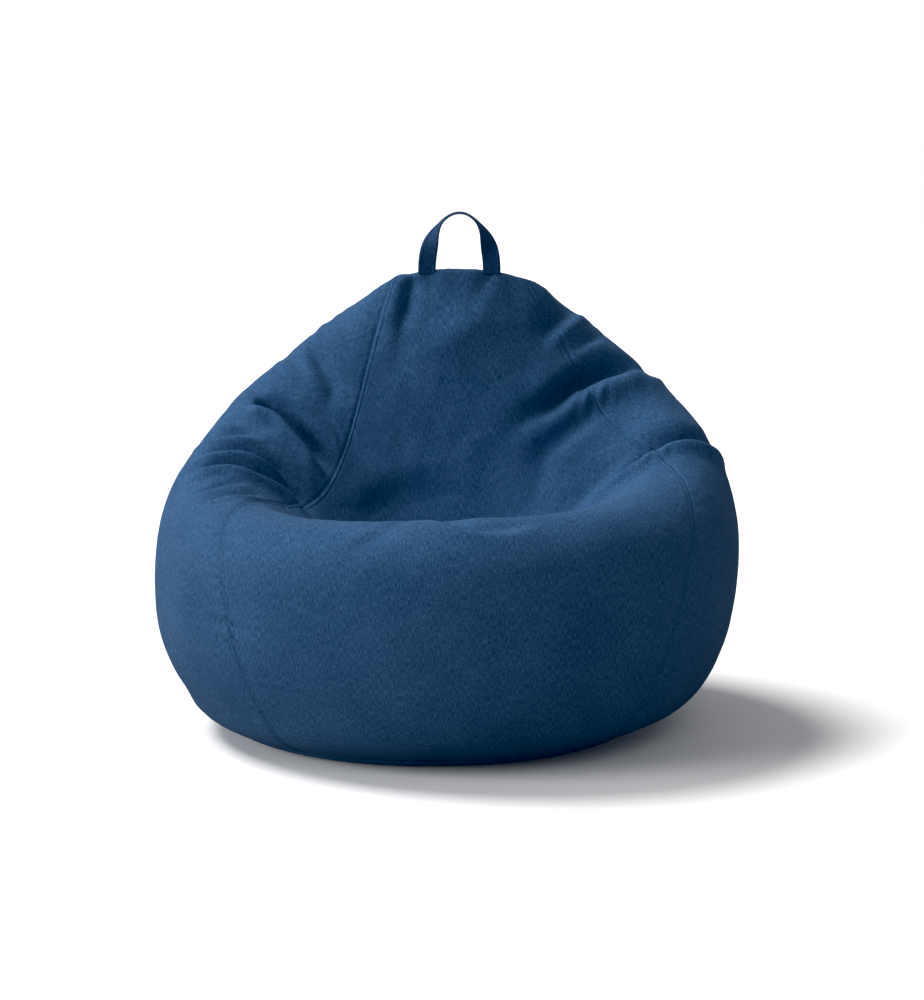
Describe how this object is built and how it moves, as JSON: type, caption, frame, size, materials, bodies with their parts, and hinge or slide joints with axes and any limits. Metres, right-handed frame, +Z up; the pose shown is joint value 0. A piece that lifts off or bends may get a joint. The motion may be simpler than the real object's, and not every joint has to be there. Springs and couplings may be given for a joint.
{
  "type": "bean bag chair",
  "caption": "Teardrop bean bag chair with a pressed-in seat, a carrying loop at the top, a zip up the back and a zipped inner bag of foam beads.",
  "frame": {"origin": "middle of the flat base, on the floor", "axes": "+Z up, +Y towards the back of the chair, +X to the right as seen from the front"},
  "size_m": [0.8513, 0.8007, 0.7491],
  "materials": {
    "cloth": "matt linen-look weave",
    "strap": "matt webbing of the same cloth",
    "zip_tape": "matt woven tape",
    "zip_teeth": "satin",
    "zip_metal": "satin",
    "label": "matt satin ribbon, blank",
    "lining": "matt non-woven",
    "beads": "matt foam beads"
  },
  "bodies": {
    "bag": {"front_panel": "cloth", "right_side_panel": "cloth", "left_side_panel": "cloth", "back_right_panel": "cloth", "back_left_panel": "cloth", "top_cap": "cloth", "base_panel": "cloth", "handle_tail_left": "strap", "handle_tail_right": "strap", "zip_tape_left": "zip_tape", "zip_teeth_left": "zip_teeth", "zip_top_stop_left": "zip_metal", "zip_tape_right": "zip_tape", "zip_teeth_right": "zip_teeth", "zip_top_stop_right": "zip_metal", "zip_bottom_stop": "zip_metal", "zip_top_patch": "cloth", "zip_bottom_patch": "cloth", "care_label": "label", "inner_bag": "lining", "inner_zip_tape_left": "lining", "inner_zip_teeth_left": "zip_teeth", "inner_zip_top_stop_left": "zip_metal", "inner_zip_tape_right": "lining", "inner_zip_teeth_right": "zip_teeth", "inner_zip_top_stop_right": "zip_metal", "inner_zip_bottom_stop": "zip_metal", "bead_fill": "beads"},
    "handle": {"handle_loop": "strap"},
    "zip_runner": {"zip_slider": "zip_metal"},
    "zip_pull": {"zip_pull": "zip_metal"},
    "inner_zip_runner": {"inner_zip_slider": "zip_metal"}
  },
  "joints": [
    {"name": "handle_fold", "type": "hinge", "parent": "bag", "child": "handle", "pos_m": [0.024, 0.06928, 0.66457], "axis": [1, 0, 0], "range_deg": [-75, 95]},
    {"name": "zip_run", "type": "hinge", "parent": "bag", "child": "zip_runner", "pos_m": [0, -0.06564, 0.26295], "axis": [-1, 0, 0], "range_deg": [0, 40.5]},
    {"name": "zip_pull_swing", "type": "hinge", "parent": "zip_runner", "child": "zip_pull", "pos_m": [0, 0.37995, 0.40902], "axis": [1, 0, 0], "range_deg": [0, 150]},
    {"name": "inner_zip_run", "type": "hinge", "parent": "bag", "child": "inner_zip_runner", "pos_m": [0, -0.06564, 0.26295], "axis": [-1, 0, 0], "range_deg": [0, 40.5]}
  ]
}
